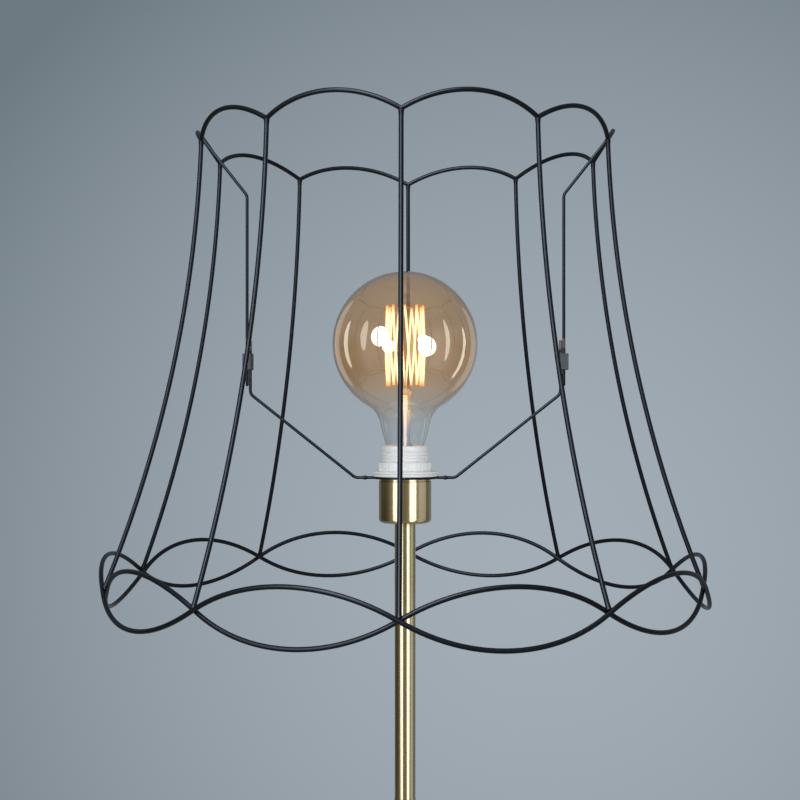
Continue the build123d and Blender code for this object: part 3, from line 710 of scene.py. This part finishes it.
def lengths(points):
    """Length along a path from its start to each point."""
    return np.concatenate([[0], np.cumsum(np.linalg.norm(np.diff(points, axis=0), axis=1))])


def weld_radius(points, radius):
    """Radius that swells by a share at the two welded ends and falls off with the square of the
    distance."""
    along = lengths(points)
    swell = np.exp(-(along / weld_length) ** 2) + np.exp(-((along[-1] - along) / weld_length) ** 2)
    return radius * (1 + weld_swell * swell)


def spaced(points, ends, count):
    """Points at even steps of length along a path, with extra ones near its ends, where it is welded."""
    along = lengths(points)
    near = np.linspace(0, 3 * weld_length, ends)
    even = np.linspace(0, along[-1], count)
    at = np.unique(np.concatenate([near, even, along[-1] - near]))
    return np.stack([np.interp(at, along, points[:, k]) for k in range(3)], axis=1)


def make_ribs():
    """Ten bowed wires, each an arc through its two ends and its waist."""
    for k in range(rib_count):
        turn = rib_step * k
        top = polar(cage_top_radius, turn, top_node_z - rib_top_trim)
        waist = polar(rib_waist_radius, turn, (top_node_z + bottom_node_z) / 2)
        bottom = polar(cage_bottom_radius, turn, bottom_node_z + rib_end_trim)
        path = spaced(arc_through(top, waist, bottom, 200), 8, 56)
        side = [math.cos(turn), math.sin(turn), 0]
        grid = swept(path, side, weld_radius(path, cage_wire_radius + cage_coat))
        node = f"rib_{k + 1:02d}"
        piece(node + "_wire", grid, coat, node)


def wire_loop(node, path):
    """Closed wire of the cage, mitred at its bends."""
    grid = swept(path, outwards(path), cage_wire_radius + cage_coat, closed=True)
    piece(node + "_wire", grid, coat, node, loop=True)


def make_top_ring():
    """Ten arcs, each from one rib's end over a scallop's top to the next."""
    arcs = []
    for k in range(rib_count):
        start = polar(cage_top_radius, rib_step * k, top_node_z)
        top = polar(scallop_radius, rib_step * (k + 0.5), scallop_z)
        end = polar(cage_top_radius, rib_step * (k + 1), top_node_z)
        arcs.append(arc_through(start, top, end, 33)[:-1])
    wire_loop("top_ring", np.vstack(arcs))


def make_wave(node, radius, first_up):
    """Corners at a slope from each crossing, rounded by arcs that leave a short straight stretch at the
    ribs."""
    half = rib_step / 2
    side = wave_height * math.cos(half)
    base = radius * math.sin(half) + wave_straight / 2
    slope = math.atan2(side, base) + math.asin(wave_height / math.hypot(side, base))
    tangent = radius * math.tan(half) / math.cos(slope)
    half_corner = math.acos(math.cos(slope) * math.cos(half))
    bend = (tangent - wave_straight / 2) / math.tan(half_corner)
    corners = []
    for k in range(rib_count):
        up = 1 if (k % 2 == 0) == first_up else -1
        height = bottom_node_z + up * tangent * math.sin(slope)
        corners.append(polar(radius / math.cos(half), rib_step * (k + 0.5), height))
    wire_loop(node, rounded(corners, [bend] * rib_count, closed=True, steps=26))


def carrier_piece(name, node, side, path, radius):
    """Bent wire with round ends, on one side of the pole, from its (reach, height) path."""
    path = np.stack([side * path[:, 0], 0 * path[:, 0], path[:, 1]], axis=1)
    points, radii = round_ends(path, radius)
    piece(name, swept(points, [0, side, 0], radii), painted_reflection_coat, node)


def make_carrier():
    """Flat ring with softened edges, and on each side an arm, with a weld bead on its level part, and a
    hanger."""
    corners = band(thread_bore, ring_radius, ring_low, ring_high)
    lathe("carrier_ring_plate", corners, [0.35] * 4, 3, 128, coat, "carrier_ring")
    wire = carrier_wire_radius + carrier_coat
    arm_corners = [(bead_at + 2 * bead_width, arm_z), (arm_flat_reach, arm_z),
                   (arm_x, arm_end_z - arm_upright), (arm_x, arm_end_z)]
    reach = np.linspace(ring_radius - arm_inset, bead_at + 2 * bead_width, 18)[:-1]
    level = np.stack([reach, 0 * reach + arm_z], axis=1)
    arm = np.vstack([level, rounded(arm_corners, [arm_bend] * 4, steps=10)])
    on_level = arm[:, 1] < arm_z + 1.0 * mm
    beads = np.exp(-((arm[:, 0] - bead_at) / bead_width) ** 2) * on_level
    beaded_wire = wire * (1 + bead_swell * beads)
    hanger_corners = [(hanger_x, hanger_low_z), (hanger_x, hanger_low_z + hanger_straight),
                      (scallop_radius, scallop_z - cage_wire_radius / 2)]
    hanger = rounded(hanger_corners, [hanger_bend] * 3, steps=10)
    for name, side in (("right", 1), ("left", -1)):
        carrier_piece(f"arm_{name}_wire", f"carrier_arm_{name}", side, arm, beaded_wire)
        carrier_piece(f"hanger_{name}_wire", f"hanger_{name}", side, hanger, wire)


# -------------------------------- pole, cup and foot
def brass_piece(node, kind, corners, edges, steps, segments):
    lathe(f"{node}_{kind}", corners, edges, steps, segments, brass, node)


def make_pole():
    """Three tubes with softened ends and the two joint bands between them."""
    for node in ("pole_lower", "pole_middle", "pole_upper"):
        corners = band(pole_radius - pole_wall, pole_radius, *levels(node))
        brass_piece(node, "tube", corners, [0, 0.15, 0.15, 0], 3, 96)
    for node in ("coupler_lower", "coupler_upper"):
        bottom = (sum(levels(node)) - band_height) / 2
        corners = band(pole_radius - band_depth, high(node).x, bottom, bottom + band_height)
        brass_piece(node, "band", corners, [0, 0.35, 0.35, 0], 4, 96)


def make_cup():
    """Spun cup with a round lower edge and a thinner lip at its mouth."""
    bottom, top = levels("holder_cup")
    lip = top - cup_lip
    inside = cup_radius - cup_wall
    lip_foot = cup_radius - cup_lip_inset
    corners = [(rod_hole, bottom), (cup_radius, bottom), (cup_radius, lip), (lip_foot, lip),
               (lip_foot + cup_lip_lean, top), (inside, top), (inside, bottom + cup_wall),
               (rod_hole, bottom + cup_wall)]
    brass_piece("holder_cup", "spun", corners, [0, 4, 0.35, 0.1, 0.2, 0.2, 3, 0], 8, 160)


def make_foot():
    """Spun cover with a rolled edge and a low cone to the pole, and the collar over the pole's joint."""
    bottom, top = levels("base_cover")
    shoulder = top - foot_rise
    inside = foot_radius - cover_wall
    corners = [(inside, bottom), (foot_radius, bottom), (foot_radius, shoulder), (crown_flat, top),
               (rod_hole, top), (rod_hole, top - cover_wall), (crown_flat, top - cover_wall),
               (inside, shoulder - cover_wall)]
    brass_piece("base_cover", "spun", corners, [0, 0.4, 8, 30, 0, 0, 30, 6.8], 12, 192)
    bottom, top = levels("foot_collar")
    edge = high("foot_collar").x
    bore = pole_radius + collar_gap
    corners = [(bore, bottom), (edge, bottom), (edge, top - collar_slope), (edge - collar_slope, top),
               (bore, top)]
    brass_piece("foot_collar", "turned", corners, [0, 0.3, 1.2, 1.2, 0.3], 5, 128)


# -------------------------------- lamp holder
def ridge(phase):
    """Flat thread ridge over one pitch: up over its first flank and down over its last."""
    both = np.clip(phase / thread_flank, 0, 1) * np.clip((1 - phase) / thread_flank, 0, 1)
    return both * both * (3 - 2 * both)


def make_holder():
    """Skirt with a helical shade thread: the root radius, plus the depth times a ridge of the height
    less the pitch times the turn."""
    bottom = low("holder_shell").z
    sides = 120
    thread_top = rim_z - holder_plain_top
    root = thread_radius - thread_depth
    turn = np.linspace(0, full_turn, sides, endpoint=False)
    height = np.linspace(bottom, thread_top, 320)[:, None]
    phase = (height / thread_pitch - turn / full_turn) % 1.0
    fade = np.clip((thread_top - height) / thread_fade, 0, 1)
    radius = root + thread_depth * ridge(phase) * fade
    threaded = np.stack([radius * np.cos(turn), radius * np.sin(turn), height + 0 * turn], axis=-1)
    corners = [(root, thread_top), (holder_plain_radius, thread_top + holder_step),
               (holder_plain_radius, rim_z), (holder_bore, rim_z), (holder_bore, bottom), (root, bottom)]
    edges = np.array([0, 0.3, 0.7, 0.4, 0, 0]) * mm
    rest = turned(rounded(corners, edges, steps=5)[1:-1], sides)
    grid = np.vstack([threaded, rest])
    piece("holder_skirt", grid, moulding, "holder_shell", loop=True, sharp=60)


def make_nut():
    """Flange and sleeve, whose radius steps out at each grip rib, in three runs of ribs with plain
    stretches between, and the slip washer under it."""
    bottom, top = levels("shade_nut")
    flange_top = bottom + nut_flange
    flange = high("shade_nut").x
    corners = [(thread_bore, bottom), (flange, bottom), (flange, flange_top),
               (nut_sleeve_radius, flange_top), (nut_sleeve_radius, top), (thread_bore, top)]
    edges = np.array([0, 0.5, 0.5, 0.6, 0.6, 0.4]) * mm
    outline = rounded(corners, edges, closed=True, steps=4)
    sides = 720
    grid = turned(outline, sides)
    turn = np.linspace(0, grip_ribs, sides, endpoint=False)
    off_middle = abs(turn % 1.0 - 0.5)
    ribbed = np.floor(turn) % grip_run >= grip_plain
    raised = np.clip((grip_half_width - off_middle) / grip_flank, 0, 1) * ribbed
    near = np.exp(-((outline[:, 0] - nut_sleeve_radius) / grip_fade) ** 2)
    near = near * (outline[:, 1] > bottom + 0.9 * nut_flange)
    dip = grip_rib_height * (1 - raised)[None, :] * near[:, None]
    shrink = 1 - dip / outline[:, :1]
    grid[..., 0] *= shrink
    grid[..., 1] *= shrink
    piece("shade_nut_ribbed", grid, moulding, "shade_nut", loop=True)
    corners = band(thread_bore, high("slip_washer").x, *levels("slip_washer"))
    lathe("slip_washer_ring", corners, [0, 0.7, 0.7, 0], 5, 160, moulding,
          "slip_washer")


# -------------------------------- bulb
def bulb_outline():
    """Globe, shoulder, neck and lip as arcs that run into each other, from the top down."""
    start_angle = -math.asin(neck_start_drop / globe_radius)
    angle = np.linspace(math.radians(89), start_angle, 90)
    outline = np.stack([globe_radius * np.cos(angle), globe_z + globe_radius * np.sin(angle)], axis=1)
    leaving = [math.sin(start_angle), -math.cos(start_angle)]
    for radius, height, count in ((neck_radius, globe_z - neck_drop, 16),
                                  (neck_low_radius, neck_end_z + neck_lip, 14),
                                  (neck_end_radius, neck_end_z, 8)):
        arc = tangent_arc(outline[-1], leaving, (radius, height), count)
        outline = np.vstack([outline, arc[1:]])
        leaving = unit(arc[-1] - arc[-2])
    return outline


def make_bulb():
    """Globe of even wall, stem with its button and flare, and the tube in the stem."""
    outer = bulb_outline()
    along = unit(np.gradient(outer, axis=0))
    inner = outer + glass_wall * np.stack([along[:, 1], -along[:, 0]], axis=1)
    outline = np.vstack([inner, outer[::-1]])
    globe = piece("globe_glass", turned(outline, 128), tinted, "bulb_glass", sharp=70)
    flare_top = stem_low + flare_height
    solid_z = stem_high - stem_solid
    corners = [(axis_gap, stem_high), (button_top_radius, stem_high),
               (button_radius, stem_high - button_height / 2), (stem_radius, stem_high - button_height),
               (stem_radius, flare_top), (flare_radius, stem_low), (flare_radius - flare_wall, stem_low),
               (stem_radius - stem_wall, flare_top), (stem_bore, solid_z), (axis_gap, solid_z)]
    edges = np.array([0, 1, 1, 1.5, 4, 0.4, 0.4, 4, 1.5, 0]) * mm
    outline = rounded(corners, edges, steps=6)[::-1]
    stem = piece("stem_glass", turned(outline, 64), clear, "bulb_stem", sharp=70)
    corners = band(axis_gap, tube_radius, stem_low, stem_high - tube_drop)
    grid = turned(rounded(corners, np.array([0, 0, 1, 0]) * mm, steps=4), 32)
    tube = piece("stem_exhaust_tube", grid, lit_tube, "bulb_stem", sharp=70)
    return globe, stem, tube


def hook_point(k):
    """Turn k of the filament: top and bottom by turns, round the cage."""
    turn = full_turn * k / (filament_strands + 1)
    return polar(filament_radius, turn, filament_top if k % 2 == 0 else filament_bottom)


def make_filament():
    """Strands from hook to hook, each bowed outwards by a sine of its length, and the glow close round
    them."""
    share = np.linspace(0, 1, 15)[:, None]
    strands, glows = [], []
    for k in range(filament_strands):
        start, end = hook_point(k), hook_point(k + 1)
        bow = outwards((start + end) / 2) * filament_bow * np.sin(math.pi * share)
        path = start + (end - start) * share + bow
        side = np.cross(end - start, start + end)
        points, radii = round_ends(path, strand_radius, 2)
        strands.append(swept(points, side, radii, 8))
        points, radii = round_ends(path, glow_radius, 3)
        glows.append(swept(points, side, radii, 10))
    core = piece("filament_strands", strands, glowing, "bulb_filament")
    glow = piece("filament_glow", glows, halo, "bulb_filament")
    glow.visible_glossy = False
    glow.visible_diffuse = False
    glow.visible_shadow = False
    return core


make_ribs()
make_top_ring()
make_wave("bottom_wave_a", inner_wave_radius, True)
make_wave("bottom_wave_b", outer_wave_radius, False)
make_carrier()
make_pole()
make_cup()
make_foot()
make_holder()
make_nut()
globe, stem, tube = make_bulb()
filament_core = make_filament()


# -------------------------------- pieces that keep their solids
def node_slot(solid):
    """Slot of a node's solid, read from the name of the material that it came with."""
    names = [s.material.name for s in solid.material_slots if s.material]
    return next((slot for slot in slot_finish for name in names if name.startswith(slot)), "black_wire")


for node, solid in frame["nodes"].items():
    if solid.hide_render:
        continue
    chosen = fold if node.startswith("clamp_sleeve") else slot_finish[node_slot(solid)]
    if not solid.material_slots:
        solid.data.materials.append(chosen)
    for material_slot in solid.material_slots:
        material_slot.material = chosen


# -------------------------------- camera
camera_turn = math.radians(1.15)        # from the front towards +X
camera_distance = 1.252
camera_aside = 4.4 * mm
eye_height = 1.3978
camera_data = bpy.data.cameras.new("camera")
camera_data.lens = 65.5
camera_data.sensor_width = 36.0
camera_data.shift_y = 0.0244
camera = placed("camera", camera_data)
camera.location = (camera_distance * math.sin(camera_turn) - camera_aside,
                   -camera_distance * math.cos(camera_turn), eye_height)
camera.rotation_euler = (math.pi / 2, 0, camera_turn)
bpy.context.scene.camera = camera

# -------------------------------- lamps
lamp_distance = 1.3                     # of the lamps that the globe and the brass mirror
round_size = 2 * lamp_distance * math.tan(math.radians(14.5))


def make_lamp(name, azimuth, elevation, distance, width, height, radiance, colour, lit):
    """Soft lamp round the bulb for what it lights: azimuth from the front towards +X, and the radiance
    that a mirror would show."""
    data = bpy.data.lights.new(name, "AREA")
    data.shape = "DISK" if width == height else "ELLIPSE"
    data.size = width
    if width != height:
        data.size_y = height
    data.energy = radiance * math.pi * math.pi * width * height / 4
    data.color = colour
    lamp = placed(name, data)
    turn, rise = math.radians(azimuth), math.radians(elevation)
    away = Vector((math.sin(turn) * math.cos(rise), -math.cos(turn) * math.cos(rise), math.sin(rise)))
    lamp.location = Vector((0, 0, globe_z)) + away * distance
    lamp.rotation_mode = "QUATERNION"
    lamp.rotation_quaternion = away.to_track_quat("Z", "Y")
    lamp.visible_camera = False
    lamp.visible_transmission = False
    lamp.light_linking.receiver_collection = lit


def coated(*finishes):
    """Objects with one of these finishes."""
    meshes = [o for o in bpy.context.scene.objects if o.type == "MESH" and o.material_slots]
    return [o for o in meshes if o.material_slots[0].material in finishes]


def receivers(name, objects, state="INCLUDE"):
    """Collection for a lamp that lights these objects alone, or with EXCLUDE all but these."""
    chosen = bpy.data.collections.new(name)
    for lit in objects:
        chosen.objects.link(lit)
    for entry in chosen.collection_objects:
        entry.light_linking.link_state = state
    return chosen


wires, brasses = coated(coat, painted_reflection_coat), coated(brass)
all_else = receivers("all_but_wires_and_brass", wires + brasses, "EXCLUDE")
wires_only = receivers("wires_only", wires)
brass_only = receivers("brass_only", brasses)
globe_only = receivers("globe_only", [globe])
white, cool, blue = (1.0, 1.0, 1.0), (0.8, 0.95, 1.18), (0.78, 0.87, 1.4)
warm, cream = (1.0, 0.8, 0.55), (1.0, 0.93, 0.76)
make_lamp("round_left", -38, 9, lamp_distance, round_size, round_size, 6.6, white, all_else)
make_lamp("round_right", 35, -6, lamp_distance, round_size, round_size, 6.6, white, all_else)
make_lamp("tall_left", -38, -5, lamp_distance, round_size, 3.0, 2.7, blue, brass_only)
make_lamp("tall_right", 35, -5, lamp_distance, round_size, 3.0, 2.9, blue, brass_only)
make_lamp("tall_side", 84, -5, lamp_distance, 0.95, 3.0, 0.5, blue, brass_only)
make_lamp("overhead", -8, 54, 2.0, 1.7, 1.3, 7.5, cool, wires_only)
make_lamp("high_front", -20, 28, 2.1, 2.0, 1.0, 7.0, cool, wires_only)
make_lamp("front", -27, 4, 2.2, 2.2, 1.3, 2.8, cool, wires_only)
for name, azimuth, elevation, width, height, radiance, colour in (
        ("glint_left_rim", -134, 2, 0.5, 1.5, 0.45, warm),
        ("glint_right_rim", 136, -4, 0.5, 1.5, 0.35, warm),
        ("glint_left_outer", -104, 0, 0.24, 1.1, 2.0, cream),
        ("glint_left_inner", -66, 10, 0.26, 0.9, 1.6, cream),
        ("glint_right_outer", 106, -10, 0.18, 1.3, 2.2, cream),
        ("glint_right_inner", 70, 4, 0.18, 1.3, 1.9, cream),
        ("glint_left_lower", -24, -6, 0.5, 0.46, 4.0, white),
        ("glint_right_upper", 28, 4, 0.4, 0.36, 4.0, white)):
    make_lamp(name, azimuth, elevation, lamp_distance, width, height, radiance, colour, globe_only)

hooks = [frame["nodes"]["filament_hooks"], frame["nodes"]["lead_in_wires"]]
filament_core.light_linking.receiver_collection = receivers("bulb_only", [globe, stem, tube] + hooks)
for hot in [filament_core, tube] + hooks:
    hot.visible_glossy = False


# -------------------------------- backdrop and floor
def make_world():
    """Backdrop by direction: brightest a little below the horizon and right of the lamp, and falling off
    with a power of one less the cosine of the angle from there. To the sides and behind the camera only
    the height counts. What a mirror shows from there, but not from high up, has the tones of a room, by
    turn in degrees from the front towards +X. Diffuse light comes from a plain grey."""
    centre = Vector((0.0756, 1.0, -0.0965)).normalized()
    reach = 1 - math.cos(math.radians(27.6))
    fall_power = 0.85
    tones = ((-150, 0.3), (-130, 0.08), (-95, 0.05), (-80, 0.1), (-66, 0.26), (-45, 0.24), (0, 0.22),
             (54, 0.38), (76, 0.27), (97, 0.11), (130, 0.2), (155, 0.3))
    world = bpy.data.worlds.new("studio")
    bpy.context.scene.world = world
    p = Paint(world)
    direction = p.node("ShaderNodeTexCoord", {}, {}, "Generated")
    x, y, z = p.split(direction)
    level = level_distance(x, y)
    product = {"operation": "DOT_PRODUCT"}
    ahead = p.node("ShaderNodeVectorMath", product, {0: direction, 1: tuple(centre)}, "Value")
    round_about = level * math.hypot(centre.x, centre.y) + z * centre.z
    aside = p.step(y / level.larger(0.001), 0.957, 0.6)
    towards = ahead + (round_about - ahead) * aside
    away = (1.0 - towards).larger(0.0) / reach
    glow = (1.0 - away ** fall_power).clamped()
    seen = p.mix(glow, srgb(110, 122, 130), srgb(163, 173, 182))
    camera_ray, glossy_ray, through_ray = (
        p.node("ShaderNodeLightPath", {}, {}, f"Is {kind} Ray")
        for kind in ("Camera", "Glossy", "Transmission"))
    turn = x.turn(0.0 - y) / math.pi * 0.5 + 0.5
    stops = [(0.5 + azimuth / 360, linear(tone, tone * 1.03, tone * 1.05)) for azimuth, tone in tones]
    room = p.node("ShaderNodeValToRGB", {"stops": stops}, {0: turn})
    in_room = glossy_ray * p.step(y, 0.85, 0.6) * p.step(z, 0.5, -0.08)
    shown = camera_ray.larger(glossy_ray).larger(through_ray)
    colour = p.mix(shown, linear(0.31, 0.33, 0.35), p.mix(in_room, seen, room))
    light = p.node("ShaderNodeBackground", {}, {"Color": colour, "Strength": 1.0})
    p.node("ShaderNodeOutputWorld", {}, {"Surface": light})


def make_floor():
    """Pale round floor, just under the foot, that fades out with the distance from the pole."""
    reach = 2.7
    fade_start, fade_end = 1.1, 2.6
    height = -0.1 * mm
    p = finish("pale_floor")
    place = p.place()
    x, y = p.split(place)[:2]
    cloud = p.noise(place, 3.0, 4.0)
    paint = p.surface(Base_Color=p.mix(cloud, srgb(206, 210, 213), srgb(198, 202, 206)),
                      Roughness=0.6 + 0.1 * cloud)
    nothing = p.node("ShaderNodeBsdfTransparent", {}, {})
    gone = p.step(level_distance(x, y), fade_start, fade_end)
    pale = p.done(p.node("ShaderNodeMixShader", {}, {0: gone, 1: paint, 2: nothing}))
    mesh = bpy.data.meshes.new("floor")
    corners = [(-reach, -reach, height), (reach, -reach, height), (reach, reach, height),
               (-reach, reach, height)]
    mesh.from_pydata(corners, [], [(0, 1, 2, 3)])
    mesh.materials.append(pale)
    placed("floor", mesh)


make_world()
make_floor()
bpy.context.scene.view_settings.view_transform = "Standard"
